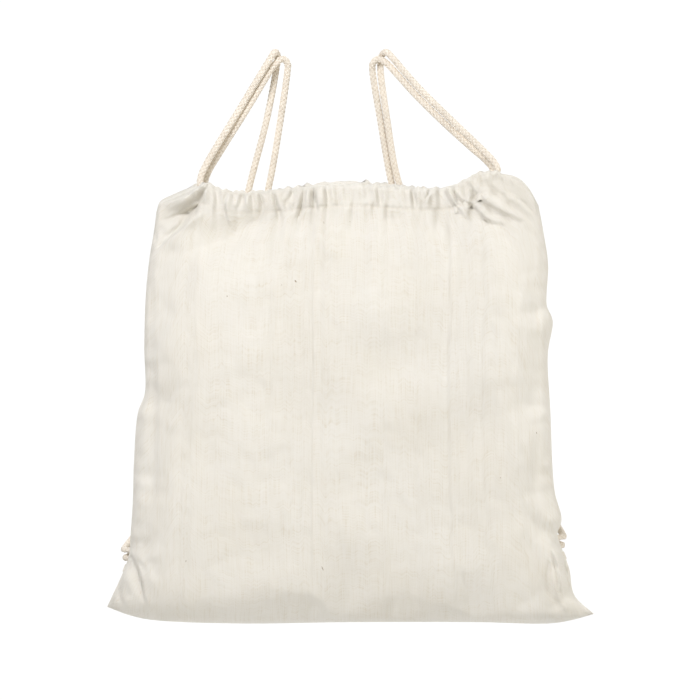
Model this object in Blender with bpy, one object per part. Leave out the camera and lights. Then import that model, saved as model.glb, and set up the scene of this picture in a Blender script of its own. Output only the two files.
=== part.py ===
"""A cotton drawstring backpack, hanging from its two strap loops.

Two panels are sewn together on three sides. Each panel's top is folded into a casing. Two braided
cords run through both casings from opposite sides: each makes a U round the far side of the mouth,
leaves the near side as two strands, rises over a hook and goes down behind the back panel to a slit
low in the side seam, where both ends are knotted inside.

Metres, +Z up, the front faces -Y, and +X is the bag's right as seen from the front. The origin is on
the line where the two loops rest on their hooks. The bag is filled, so its corners stand out as flat ears.
"""

import math

import bmesh
import bpy
import numpy as np
from mathutils import Matrix, Vector

# Driving dimensions
CLOTH = 0.0012  # wall of a panel, a single layer of canvas with its gathers
GAP = 0.0003  # kept between neighbours
CORD = 0.005  # diameter of the braided cord
CASING_HEIGHT = 0.022
CASING_END_DEPTH = 0.0078
CASING_MIDDLE_DEPTH = 0.0138  # room for the two cords to pass each other side by side
CASING_WALL = 0.0010
LIPS_APART = 0.0012  # between the casings where they meet at the side seams
MOUTH_OPEN = 0.0066  # between them at the middle of the mouth
BULGE = 0.036  # how far each panel stands out from the seam plane at its fullest
MOUTH_FULLNESS = 0.30  # the same at the foot of the casing, as a share of it
MIDDLE = np.array([0.0, -0.28])  # the middle of a panel (x, z)
THREAD_WIDTH = 0.0006

# The seam line up the left side and the right side, from the ear's tip to the shoulder (x, z)
LEFT_SIDE = [
    (-0.1895, -0.4310), (-0.1765, -0.4040), (-0.1722, -0.3890), (-0.1695, -0.3480), (-0.1655, -0.2800),
    (-0.1595, -0.1850), (-0.1540, -0.1320), (-0.1500, -0.1200),
]
RIGHT_SIDE = [
    (0.1903, -0.4366), (0.1740, -0.4150), (0.1622, -0.3790), (0.1650, -0.3560), (0.1592, -0.3050),
    (0.1560, -0.2000), (0.1515, -0.1330), (0.1480, -0.1180),
]
# The bottom seam from the left ear to the right ear
BOTTOM = [
    (-0.1895, -0.4310), (-0.1545, -0.4412), (-0.0900, -0.4440), (0.0000, -0.4430), (0.1000, -0.4430),
    (0.1550, -0.4440), (0.1903, -0.4366),
]
# The mouth's top edge, from the left exit of the cords to the right one
MOUTH = [
    (-0.1060, -0.1010), (-0.0900, -0.1065), (-0.0600, -0.1060), (-0.0300, -0.1030), (0.0000, -0.1012),
    (0.0300, -0.1030), (0.0600, -0.1050), (0.0800, -0.1020), (0.0930, -0.0960), (0.1040, -0.0900),
]
# The seam over each shoulder, inwards to the foot of the casing's end
LEFT_SHOULDER = [(-0.1500, -0.1200), (-0.1390, -0.1145), (-0.1270, -0.1160), (-0.1190, -0.1225)]
RIGHT_SHOULDER = [(0.1200, -0.1075), (0.1275, -0.1000), (0.1385, -0.1040), (0.1480, -0.1180)]
# The knotted ends pass through half-round slits in the side seams, with their middles here (x, z)
LEFT_SLIT = (-0.1722, -0.3890)
RIGHT_SLIT = (0.1622, -0.3790)
SLIT_RADIUS = 0.0056
NECK_RADIUS = 0.0050
KNOT_RADIUS = 0.0075

# Routes of the strap strands from the mouth, over the hook, to the slit (x, y, z), chosen by hand
STRANDS = {
    "left_strap_outer_cord": [
        (-0.1099, -0.0045, -0.1082), (-0.1130, -0.0045, -0.1069), (-0.1165, -0.0042, -0.1025),
        (-0.1163, -0.0038, -0.0965), (-0.1125, -0.0030, -0.0870), (-0.0859, 0.0010, -0.0423),
        (-0.0700, 0.0040, -0.0155), (-0.0636, 0.0055, -0.0049), (-0.0588, 0.0085, 0.0025),
        (-0.0568, 0.0150, -0.0002), (-0.0577, 0.0175, -0.0080), (-0.0652, 0.0195, -0.0480),
        (-0.0778, 0.0230, -0.0960), (-0.0900, 0.0320, -0.1450), (-0.1110, 0.0405, -0.2150),
        (-0.1290, 0.0410, -0.2800), (-0.1470, 0.0385, -0.3330), (-0.1640, 0.0300, -0.3680),
        (-0.1755, 0.0120, -0.3845), (-0.1767, 0.0055, -0.3866),
    ],
    "left_strap_inner_cord": [
        (-0.1099, 0.0045, -0.1082), (-0.1125, 0.0046, -0.1068), (-0.1135, 0.0055, -0.1005),
        (-0.1110, 0.0056, -0.0920), (-0.1000, 0.0052, -0.0735), (-0.0819, 0.0052, -0.0447),
        (-0.0659, 0.0080, -0.0179), (-0.0598, 0.0100, -0.0078), (-0.0555, 0.0110, -0.0036),
        (-0.0518, 0.0124, -0.0026), (-0.0490, 0.0142, -0.0060), (-0.0492, 0.0160, -0.0120),
        (-0.0545, 0.0215, -0.0480), (-0.0628, 0.0250, -0.0960), (-0.0750, 0.0345, -0.1450),
        (-0.0960, 0.0425, -0.2150), (-0.1190, 0.0430, -0.2800), (-0.1410, 0.0405, -0.3360),
        (-0.1590, 0.0320, -0.3740), (-0.1728, 0.0140, -0.3920), (-0.1757, 0.0062, -0.3932),
    ],
    "right_strap_outer_cord": [
        (0.1089, -0.0045, -0.0966), (0.1120, -0.0045, -0.0948), (0.1148, -0.0042, -0.0905),
        (0.1122, -0.0036, -0.0845), (0.1050, -0.0025, -0.0765), (0.0772, 0.0010, -0.0494),
        (0.0538, 0.0030, -0.0260), (0.0402, 0.0046, -0.0105), (0.0340, 0.0060, -0.0030),
        (0.0285, 0.0085, 0.0025), (0.0247, 0.0165, -0.0002), (0.0240, 0.0188, -0.0095),
        (0.0290, 0.0200, -0.0480), (0.0376, 0.0235, -0.0960), (0.0570, 0.0320, -0.1450),
        (0.0880, 0.0410, -0.2150), (0.1150, 0.0410, -0.2750), (0.1370, 0.0380, -0.3230),
        (0.1560, 0.0290, -0.3570), (0.1662, 0.0120, -0.3742), (0.1670, 0.0055, -0.3766),
    ],
    "right_strap_inner_cord": [
        (0.1094, 0.0048, -0.0963), (0.1116, 0.0050, -0.0945), (0.1113, 0.0055, -0.0887),
        (0.1050, 0.0052, -0.0812), (0.0965, 0.0045, -0.0740), (0.0734, 0.0035, -0.0532),
        (0.0500, 0.0056, -0.0298), (0.0362, 0.0080, -0.0142), (0.0305, 0.0098, -0.0078),
        (0.0262, 0.0106, -0.0042), (0.0215, 0.0120, -0.0026), (0.0178, 0.0140, -0.0062),
        (0.0178, 0.0160, -0.0130), (0.0236, 0.0222, -0.0480), (0.0321, 0.0258, -0.0960),
        (0.0450, 0.0345, -0.1450), (0.0740, 0.0430, -0.2150), (0.1040, 0.0430, -0.2780),
        (0.1300, 0.0400, -0.3290), (0.1500, 0.0310, -0.3650), (0.1630, 0.0140, -0.3822),
        (0.1659, 0.0062, -0.3833),
    ],
}

# Colours as linear RGB
CANVAS = (0.86, 0.81, 0.70)
BRAID = (0.82, 0.74, 0.60)
THREAD = (0.88, 0.84, 0.75)


def clear_scene():
    for obj in list(bpy.data.objects):
        bpy.data.objects.remove(obj, do_unlink=True)


def make_material(name, colour, roughness=0.9):
    material = bpy.data.materials.new(name)
    material.use_nodes = True
    shader = material.node_tree.nodes["Principled BSDF"]
    shader.inputs["Base Color"].default_value = (*colour, 1.0)
    shader.inputs["Roughness"].default_value = roughness
    shader.inputs["Metallic"].default_value = 0.0
    return material


def add_mesh(name, points, faces, colour, roughness=0.9):
    """A closed mesh object of its own, with its own material and its faces turned outwards."""
    mesh = bpy.data.meshes.new(name)
    mesh.from_pydata([tuple(map(float, p)) for p in points], [], faces)
    work = bmesh.new()
    work.from_mesh(mesh)
    bmesh.ops.recalc_face_normals(work, faces=work.faces)
    if work.calc_volume(signed=True) < 0:
        bmesh.ops.reverse_faces(work, faces=work.faces)
    work.to_mesh(mesh)
    work.free()
    mesh.shade_smooth()
    mesh.set_sharp_from_angle(angle=math.radians(50))
    obj = bpy.data.objects.new(name, mesh)
    bpy.context.collection.objects.link(obj)
    mesh.materials.append(make_material(name, colour, roughness))
    return obj


def dense_curve(route):
    """Close points on a centripetal Catmull-Rom curve through the route."""
    knots = np.array(route, float)
    knots = np.vstack([2 * knots[0] - knots[1], knots, 2 * knots[-1] - knots[-2]])
    dense = []
    for before, start, end, after in zip(knots, knots[1:], knots[2:], knots[3:]):
        t1 = math.sqrt(np.linalg.norm(start - before))
        t2 = t1 + math.sqrt(np.linalg.norm(end - start))
        t3 = t2 + math.sqrt(np.linalg.norm(after - end))
        for t in np.linspace(t1, t2, 24, endpoint=False):
            a1 = before * (t1 - t) / t1 + start * t / t1
            a2 = start * (t2 - t) / (t2 - t1) + end * (t - t1) / (t2 - t1)
            a3 = end * (t3 - t) / (t3 - t2) + after * (t - t2) / (t3 - t2)
            b1 = a1 * (t2 - t) / t2 + a2 * t / t2
            b2 = a2 * (t3 - t) / (t3 - t1) + a3 * (t - t1) / (t3 - t1)
            dense.append(b1 * (t2 - t) / (t2 - t1) + b2 * (t - t1) / (t2 - t1))
    return np.array(dense + [knots[-2]])


def smooth_route(route, count, bend_weight=0.0):
    """count points on the smooth curve through the route, evenly spaced, or closer where it bends."""
    dense = dense_curve(route)
    steps = np.diff(dense, axis=0)
    lengths = np.linalg.norm(steps, axis=1)
    headings = steps / lengths[:, None]
    turned = np.arccos(np.clip((headings[1:] * headings[:-1]).sum(axis=1), -1, 1))
    lengths[1:] += bend_weight * turned
    progress = np.concatenate([[0], np.cumsum(lengths)])
    wanted = np.linspace(0, progress[-1], count)
    return np.stack([np.interp(wanted, progress, dense[:, i]) for i in range(dense.shape[1])], axis=1)


def add_tube(name, points, diameter, colour, resolution=2):
    """A round cord along the points, with filled ends."""
    curve = bpy.data.curves.new(name, "CURVE")
    curve.dimensions = "3D"
    curve.bevel_depth = diameter / 2
    curve.bevel_resolution = resolution
    curve.use_fill_caps = True
    spline = curve.splines.new("POLY")
    spline.points.add(len(points) - 1)
    for target, point in zip(spline.points, points):
        target.co = (*map(float, point), 1.0)
    obj = bpy.data.objects.new(name, curve)
    bpy.context.collection.objects.link(obj)
    curve.materials.append(make_material(name, colour))
    return obj


def outline_point(outline, fraction):
    """The (x, z) point at this fraction of an outline's length."""
    return smooth_route(outline, 201)[int(round(fraction * 200))]


def fullness_across(u):
    """1 over the flat middle of a panel, falling to 0 at its side seams as a rounded box does."""
    past = np.clip((np.abs(u) - 0.30) / 0.70, 0, 1)
    return (1 - past**2.5) ** (1 / 2.2)


def smooth_step(x):
    x = np.clip(x, 0, 1)
    return x * x * (3 - 2 * x)


def fullness(u, v):
    """How far out a panel stands: 0 at the seams, less towards the mouth, and nothing over the shoulders."""
    bottom = (1 - np.clip((0.17 - v) / 0.17, 0, 1) ** 2.3) ** (1 / 2.2)
    high = smooth_step((v - 0.55) / 0.45)
    top = 1 - (1 - MOUTH_FULLNESS) * high**0.9
    shoulder = 1 - smooth_step((v - 0.75) / 0.25) * smooth_step((np.abs(u) - 0.50) / 0.28)
    return fullness_across(u) * bottom * top * shoulder


def panel_layer(columns, rows, inset, raised):
    """Grid points (rows+1, columns+1, 3) of one layer of the front panel."""
    across = np.sin(np.linspace(-math.pi / 2, math.pi / 2, columns + 1))
    up = np.linspace(0, 1, rows + 1) ** 1.35
    foot = mouth_curve(CASING_HEIGHT + 4 * GAP)[3:-3:4]
    upper = [*LEFT_SHOULDER, *foot, *RIGHT_SHOULDER]
    left = np.array([outline_point(LEFT_SIDE, v) for v in up])
    right = np.array([outline_point(RIGHT_SIDE, v) for v in up])
    bottom = np.array([outline_point(BOTTOM, (u + 1) / 2) for u in across])
    top = np.array([outline_point(upper, (u + 1) / 2) for u in across])
    s = ((across + 1) / 2)[None, :, None]
    t = up[:, None, None]
    sides = left[:, None] * (1 - s) + right[:, None] * s
    ends = bottom[None] * (1 - t) + top[None] * t
    corners = (bottom[0] * (1 - s) + bottom[-1] * s) * (1 - t) + (top[0] * (1 - s) + top[-1] * s) * t
    flat = sides + ends - corners
    inwards = MIDDLE - flat
    flat += inwards * inset / np.linalg.norm(inwards, axis=2, keepdims=True)
    flat[-1, 1:-1, 1] = top[1:-1, 1]  # both layers end level under the casing
    depth = BULGE * fullness(across[None], up[:, None]) + raised + GAP / 2
    return np.dstack([flat[:, :, 0], -depth, flat[:, :, 1]])


def mouth_curve(drop):
    """(x, z) points of the mouth's edge, moved down square to it by drop."""
    edge = smooth_route(MOUTH, 81)
    along = np.gradient(edge, axis=0)
    along /= np.linalg.norm(along, axis=1, keepdims=True)
    return edge + drop * np.stack([along[:, 1], -along[:, 0]], axis=1)


def make_back_panel():
    """The back panel: an outer and an inner layer joined round the rim."""
    columns, rows = 22, 20
    outer = panel_layer(columns, rows, 0.0, CLOTH)
    inner = panel_layer(columns, rows, CLOTH, 0.0)
    points = np.vstack([outer.reshape(-1, 3), inner.reshape(-1, 3)])
    points[:, 1] *= -1
    wide, half = columns + 1, (columns + 1) * (rows + 1)
    faces = []
    for row in range(rows):
        for column in range(columns):
            a = row * wide + column
            quad = [a, a + 1, a + wide + 1, a + wide]
            faces += [quad, [half + i for i in reversed(quad)]]
    rim = list(range(wide)) + [r * wide + columns for r in range(1, rows + 1)]
    rim += [rows * wide + c for c in range(columns - 1, -1, -1)] + [r * wide for r in range(rows - 1, 0, -1)]
    for start, end in zip(rim, rim[1:] + rim[:1]):
        faces.append([start, half + start, half + end, end])
    return add_mesh("back_panel", points, faces, CANVAS)


def make_front_panel(back):
    """The front panel is cut as the back one's mirror image."""
    cut = back.evaluated_get(bpy.context.evaluated_depsgraph_get())
    mesh = bpy.data.meshes.new_from_object(cut)
    mesh.name = "front_panel"
    mesh.transform(Matrix.Scale(-1, 4, (0, 1, 0)))
    mesh.flip_normals()
    mesh.materials.clear()
    mesh.materials.append(make_material("front_panel", CANVAS))
    bpy.context.collection.objects.link(bpy.data.objects.new("front_panel", mesh))


def cut_slit(panel, slit):
    """Cuts the half-round notch where the cord ends pass through the side seam."""
    bpy.ops.mesh.primitive_cylinder_add(
        radius=SLIT_RADIUS, depth=0.030, vertices=16, location=(slit[0], 0, slit[1]), rotation=(0, math.pi / 2, 0)
    )
    cutter = bpy.context.active_object
    cutter.name = f"{panel.name}_slit_cutter_{'left' if slit[0] < 0 else 'right'}"
    cutter.hide_render = True
    cutter.display_type = "WIRE"
    boolean = panel.modifiers.new("slit", "BOOLEAN")
    boolean.operation = "DIFFERENCE"
    boolean.object = cutter


def casing_middle(count):
    """0 at the casing's two ends and 1 at its middle, at count points along it."""
    return 1 - np.linspace(-1, 1, count) ** 2


def casing_half_depth(count):
    return (CASING_END_DEPTH + (CASING_MIDDLE_DEPTH - CASING_END_DEPTH) * casing_middle(count)) / 2


def casing_line(side, up=0.0, out=0.0):
    """Points along a casing from left to right, moved from its centre by up along its height and by out in Y."""
    flat = mouth_curve(CASING_HEIGHT / 2)
    along = np.gradient(flat, axis=0)
    along /= np.linalg.norm(along, axis=1, keepdims=True)
    flat = flat + np.stack([-along[:, 1], along[:, 0]], axis=1) * np.broadcast_to(up, len(flat))[:, None]
    inner_face = (LIPS_APART + (MOUTH_OPEN - LIPS_APART) * casing_middle(len(flat))) / 2
    y = side * (inner_face + casing_half_depth(len(flat)) + out)
    return np.stack([flat[:, 0], y, flat[:, 1]], axis=1)


def make_casing(name, side):
    """A flattened tube with open ends, through which both cords run."""
    step, sides = 4, 12
    centres = casing_line(side)[::step]
    half_depths = casing_half_depth(len(casing_line(side)))[::step]
    angles = np.linspace(0, 2 * math.pi, sides, endpoint=False)
    rings = []
    for index, (centre, half_depth) in enumerate(zip(centres, half_depths)):
        before, after = centres[max(index - 1, 0)], centres[min(index + 1, len(centres) - 1)]
        along = Vector(after - before)
        along.y = 0
        along.normalize()
        up = Vector((-along.z, 0, along.x))
        for wall in (0.0, CASING_WALL):
            tall, deep = CASING_HEIGHT / 2 - wall, half_depth - wall
            for angle in angles:
                rise = math.copysign(abs(math.sin(angle)) ** 0.6, math.sin(angle)) * tall
                out = math.copysign(abs(math.cos(angle)) ** 0.6, math.cos(angle)) * deep
                rings.append(Vector(centre) + up * rise + Vector((0, out, 0)))
    faces = []
    for ring in range(len(centres) - 1):
        low, high = ring * 2 * sides, (ring + 1) * 2 * sides
        for i in range(sides):
            j = (i + 1) % sides
            faces.append([low + i, low + j, high + j, high + i])
            faces.append([low + sides + j, low + sides + i, high + sides + i, high + sides + j])
    for ring in (0, len(centres) - 1):
        low = ring * 2 * sides
        for i in range(sides):
            j = (i + 1) % sides
            faces.append([low + i, low + sides + i, low + sides + j, low + j])
    return add_mesh(name, rings, faces, CANVAS)


def turn(start, end, outwards, count=7):
    """Points of the half circle by which a cord goes from one casing into the other."""
    middle, half = (start + end) / 2, (start - end) / 2
    radius = np.linalg.norm(half)
    angles = np.linspace(0, math.pi, count)[1:-1]
    return [middle + half * math.cos(a) + outwards * radius * math.sin(a) for a in angles]


def make_drawcords():
    """Both cords inside the casings. Each one's U round the far side belongs to its back run.

    A cord lies on top where it leaves the mouth and below the other at its far side, and the two pass
    each other side by side at the middle of each casing.
    """
    stack, pass_by, past_end = 0.0029, 0.0028, 0.0012
    phase = np.linspace(0, math.pi, len(mouth_curve(0)))
    for cord, sign, far in (("left", 1, -1), ("right", -1, 0)):
        up = sign * stack * np.cos(phase)
        out = sign * pass_by * np.sin(phase)
        front = casing_line(-1, up, out)[::4]
        back = casing_line(1, up, out)[::4]
        add_tube(f"{cord}_drawcord_front_run", front, CORD, BRAID)
        outwards = front[far] - front[far - 1 if far else 1]
        outwards[1] = 0
        outwards /= np.linalg.norm(outwards)
        shift = outwards * past_end
        bend = turn(back[far] + shift, front[far] + shift, outwards)
        meeting = [front[far] + shift, front[far] + outwards * 2 * GAP]
        route = [*back, *bend, *meeting] if far else [*reversed(meeting), *reversed(bend), *back]
        add_tube(f"{cord}_drawcord_back_run", route, CORD, BRAID)


def make_straps():
    for name, route in STRANDS.items():
        add_tube(name, smooth_route(route, 52, bend_weight=0.02), CORD, BRAID)


def edge_strip(name, edge, thickness, near, far):
    """The overlocked allowance inside a seam: a thin strip standing inwards from the seam line."""
    inward = MIDDLE - edge
    inward /= np.linalg.norm(inward, axis=1, keepdims=True)
    along = np.gradient(edge, axis=0)
    along /= np.linalg.norm(along, axis=1, keepdims=True)
    square = inward - along * (inward * along).sum(axis=1, keepdims=True)
    square /= np.linalg.norm(square, axis=1, keepdims=True)
    points, faces = [], []
    for place, direction in zip(edge, square):
        for distance, y in ((near, -1), (near, 1), (far, 1), (far, -1)):
            x, z = place + direction * distance
            points.append((x, y * thickness / 2, z))
    for row in range(len(edge) - 1):
        a, b = 4 * row, 4 * row + 4
        for i in range(4):
            j = (i + 1) % 4
            faces.append([a + i, a + j, b + j, b + i])
    faces += [[3, 2, 1, 0], [len(points) - 4 + i for i in range(4)]]
    return add_mesh(name, points, faces, CANVAS)


def make_seams():
    near, far, thickness = 0.0030, 0.0100, 0.0014
    for name, side in (("left_side_seam", LEFT_SIDE), ("right_side_seam", RIGHT_SIDE)):
        above_knot, below_shoulder = 50, 180  # of the 200 steps up the side
        edge_strip(name, smooth_route(side, 201)[above_knot:below_shoulder:6], thickness, near, far)
    ear = 8  # of the 60 steps along the bottom
    edge_strip("bottom_seam", smooth_route(BOTTOM, 61)[ear:-ear:3], thickness, near, far)


def make_knot(name, slit):
    """Both cord ends tied in one knot inside the seam, with the neck that passes out through the slit."""
    inward = 1 if slit[0] < 0 else -1
    outside, inside, sides = 0.0015, 0.0070, 14
    neck_end, tip, overlap = math.radians(140), math.radians(10), 0.75
    profile = [(-outside, NECK_RADIUS), (inside, NECK_RADIUS)]
    for angle in np.linspace(neck_end, tip, 8):
        profile.append((inside + KNOT_RADIUS * (overlap + math.cos(angle)), KNOT_RADIUS * math.sin(angle)))
    points, faces = [], []
    for distance, radius in profile:
        for i in range(sides):
            angle = 2 * math.pi * i / sides
            points.append(
                (slit[0] + inward * distance, radius * math.cos(angle), slit[1] + radius * math.sin(angle))
            )
    for ring in range(len(profile) - 1):
        for i in range(sides):
            j = (i + 1) % sides
            faces.append([ring * sides + i, ring * sides + j, (ring + 1) * sides + j, (ring + 1) * sides + i])
    faces += [list(range(sides)), [len(points) - sides + i for i in range(sides)]]
    return add_mesh(name, points, faces, BRAID)


def make_bartack(name, slit):
    """The close thread bar that wraps the seam's edge just below the slit."""
    inward = 1 if slit[0] < 0 else -1
    below, reach, clear = 0.0105, 0.0090, 0.0022
    line = smooth_route(LEFT_SIDE if slit[0] < 0 else RIGHT_SIDE, 401)
    edge_x = line[np.argmin(np.abs(line[:120, 1] - (slit[1] - below)))][0]
    z = slit[1] - below
    route = [
        (edge_x - inward * share * clear, y * reach, z)
        for y, share in ((-1.0, 0.5), (-0.5, 0.9), (0.0, 1.0), (0.5, 0.9), (1.0, 0.5))
    ]
    add_tube(name, smooth_route(route, 11), 0.0012, THREAD, resolution=1)


def make_stitching():
    """The row of thread along the foot of each casing, just off its outer face."""
    above_foot = 0.0045
    for name, side in (("front_casing_stitching", -1), ("back_casing_stitching", 1)):
        clear = casing_half_depth(len(mouth_curve(0))) + 2 * GAP
        line = casing_line(side, above_foot - CASING_HEIGHT / 2, clear)
        add_tube(name, line[3:-3:3], THREAD_WIDTH, THREAD, resolution=0)


def main():
    clear_scene()
    back = make_back_panel()
    for slit in (LEFT_SLIT, RIGHT_SLIT):
        cut_slit(back, slit)
    make_front_panel(back)
    make_casing("front_casing", -1)
    make_casing("back_casing", 1)
    make_drawcords()
    make_straps()
    make_seams()
    make_knot("left_cord_knot", LEFT_SLIT)
    make_knot("right_cord_knot", RIGHT_SLIT)
    make_bartack("left_bartack", LEFT_SLIT)
    make_bartack("right_bartack", RIGHT_SLIT)
    make_stitching()


main()
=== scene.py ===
"""The looks of the drawstring backpack: its cloth, its braided cords, its stitches and the studio."""

import math

import bpy
import numpy as np
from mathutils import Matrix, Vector


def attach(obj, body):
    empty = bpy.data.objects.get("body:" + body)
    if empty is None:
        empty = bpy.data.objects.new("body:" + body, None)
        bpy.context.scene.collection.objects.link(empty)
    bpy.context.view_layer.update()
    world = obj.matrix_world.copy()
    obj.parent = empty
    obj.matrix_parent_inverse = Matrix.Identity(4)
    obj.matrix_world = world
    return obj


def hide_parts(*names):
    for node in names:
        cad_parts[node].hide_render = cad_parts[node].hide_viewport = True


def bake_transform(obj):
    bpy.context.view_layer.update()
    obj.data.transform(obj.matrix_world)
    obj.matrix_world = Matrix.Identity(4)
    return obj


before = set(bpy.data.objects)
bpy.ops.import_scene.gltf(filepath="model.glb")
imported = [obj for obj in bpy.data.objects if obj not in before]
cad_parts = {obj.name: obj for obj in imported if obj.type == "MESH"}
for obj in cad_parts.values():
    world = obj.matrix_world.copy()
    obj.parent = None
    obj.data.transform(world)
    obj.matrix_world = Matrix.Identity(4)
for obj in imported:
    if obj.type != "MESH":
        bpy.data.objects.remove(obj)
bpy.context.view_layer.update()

# Sizes of the bag in metres
CORD = 0.005
STRAND = 0.0055  # a strap cord's outside, over the crowns of its braid
CLOTH = 0.0007
BULGE = 0.0350  # from the middle plane to the fullest place of a panel
CASING_HEIGHT = 0.0175  # from the mouth's edge down to the stitch line
HEM = 0.0215  # from the mouth's edge to the hem's raw edge, inside
STITCH = 0.0030
SEWING_THREAD = 0.00026  # radius
BARTACK_THREAD = 0.00030  # radius
OVERLOCK_THREAD = 0.00022  # radius
KNOTTED_CORD = 0.0046  # outside, pulled tight
ALLOWANCE_THICKNESS = 0.0012  # two layers
PANEL_HEIGHT = 0.335
CORD_OUT = 0.0040  # from the middle plane to a cord in the casing
CORD_APART = 0.0029  # half the distance between the two cords in one casing
CORD_COVER = 0.0078  # the casing's least depth, which keeps the cords inside it
SETTLE_LIMIT = 0.0045  # the most that the cloth simulation may move the cloth
FOLD_EXTRA = 1.5  # how much deeper the folds are at the mouth
MIDDLE = np.array([0.0, -0.28])

# The camera, in metres
FRAME_WIDTH = 0.546  # what the picture takes in at the bag
CAMERA_DISTANCE = 2.3
VIEW_HEIGHT = -0.2307

COARSE = 1
FOOT_ROW = 18 // COARSE  # the row at the casing's stitches
FRONT_COLUMNS = 300 // COARSE // 2 * 2 + 1
BACK_COLUMNS = 240 // COARSE // 2 * 2 + 1

# Routes of the strap strands, as in the CAD, each with its length
STRANDS = {
    "left_strap_outer_cord": (0.560, [
        (-0.1099, -0.0045, -0.1082), (-0.1130, -0.0045, -0.1069), (-0.1165, -0.0042, -0.1025),
        (-0.1163, -0.0038, -0.0965), (-0.1125, -0.0030, -0.0870), (-0.0859, 0.0010, -0.0423),
        (-0.0700, 0.0040, -0.0155), (-0.0636, 0.0055, -0.0049), (-0.0588, 0.0085, 0.0025),
        (-0.0568, 0.0150, -0.0002), (-0.0577, 0.0175, -0.0080), (-0.0652, 0.0195, -0.0480),
        (-0.0778, 0.0230, -0.0960), (-0.0900, 0.0320, -0.1450), (-0.1110, 0.0405, -0.2150),
        (-0.1290, 0.0410, -0.2800), (-0.1470, 0.0385, -0.3330), (-0.1640, 0.0300, -0.3680),
        (-0.1755, 0.0120, -0.3845), (-0.1767, 0.0055, -0.3866),
    ]),
    "left_strap_inner_cord": (0.560, [
        (-0.1099, 0.0045, -0.1082), (-0.1125, 0.0046, -0.1068), (-0.1135, 0.0055, -0.1005),
        (-0.1110, 0.0056, -0.0920), (-0.1000, 0.0052, -0.0735), (-0.0819, 0.0052, -0.0447),
        (-0.0659, 0.0080, -0.0179), (-0.0598, 0.0100, -0.0078), (-0.0555, 0.0110, -0.0036),
        (-0.0518, 0.0124, -0.0026), (-0.0490, 0.0142, -0.0060), (-0.0492, 0.0160, -0.0120),
        (-0.0545, 0.0215, -0.0480), (-0.0628, 0.0250, -0.0960), (-0.0750, 0.0345, -0.1450),
        (-0.0960, 0.0425, -0.2150), (-0.1190, 0.0430, -0.2800), (-0.1410, 0.0405, -0.3360),
        (-0.1590, 0.0320, -0.3740), (-0.1728, 0.0140, -0.3920), (-0.1757, 0.0062, -0.3932),
    ]),
    "right_strap_outer_cord": (0.567, [
        (0.1089, -0.0045, -0.0966), (0.1120, -0.0045, -0.0948), (0.1148, -0.0042, -0.0905),
        (0.1122, -0.0036, -0.0845), (0.1050, -0.0025, -0.0765), (0.0772, 0.0010, -0.0494),
        (0.0538, 0.0030, -0.0260), (0.0402, 0.0046, -0.0105), (0.0340, 0.0060, -0.0030),
        (0.0285, 0.0085, 0.0025), (0.0247, 0.0165, -0.0002), (0.0240, 0.0188, -0.0095),
        (0.0290, 0.0200, -0.0480), (0.0376, 0.0235, -0.0960), (0.0570, 0.0320, -0.1450),
        (0.0880, 0.0410, -0.2150), (0.1150, 0.0410, -0.2750), (0.1370, 0.0380, -0.3230),
        (0.1560, 0.0290, -0.3570), (0.1662, 0.0120, -0.3742), (0.1670, 0.0055, -0.3766),
    ]),
    "right_strap_inner_cord": (0.566, [
        (0.1094, 0.0048, -0.0963), (0.1116, 0.0050, -0.0945), (0.1113, 0.0055, -0.0887),
        (0.1050, 0.0052, -0.0812), (0.0965, 0.0045, -0.0740), (0.0734, 0.0035, -0.0532),
        (0.0500, 0.0056, -0.0298), (0.0362, 0.0080, -0.0142), (0.0305, 0.0098, -0.0078),
        (0.0262, 0.0106, -0.0042), (0.0215, 0.0120, -0.0026), (0.0178, 0.0140, -0.0062),
        (0.0178, 0.0160, -0.0130), (0.0236, 0.0222, -0.0480), (0.0321, 0.0258, -0.0960),
        (0.0450, 0.0345, -0.1450), (0.0740, 0.0430, -0.2150), (0.1040, 0.0430, -0.2780),
        (0.1300, 0.0400, -0.3290), (0.1500, 0.0310, -0.3650), (0.1630, 0.0140, -0.3822),
        (0.1659, 0.0062, -0.3833),
    ]),
}


# ---------------------------------------------------------------- studio


def make_camera():
    data = bpy.data.cameras.new("camera")
    data.sensor_width = 36.0
    data.lens = data.sensor_width * CAMERA_DISTANCE / FRAME_WIDTH
    data.clip_end = 50.0
    camera = bpy.data.objects.new("camera", data)
    camera.location = (0.0, -CAMERA_DISTANCE, VIEW_HEIGHT)
    camera.rotation_euler = (math.pi / 2, 0.0, 0.0)
    bpy.context.scene.collection.objects.link(camera)
    bpy.context.scene.camera = camera


def add_area_light(name, place, target, size, power, colour=(1.0, 1.0, 1.0)):
    data = bpy.data.lights.new(name, "AREA")
    data.shape = "DISK"
    data.size = size
    data.energy = power
    data.color = colour
    lamp = bpy.data.objects.new(name, data)
    lamp.location = place
    lamp.rotation_euler = (Vector(target) - Vector(place)).to_track_quat("-Z", "Y").to_euler()
    bpy.context.scene.collection.objects.link(lamp)


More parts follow.
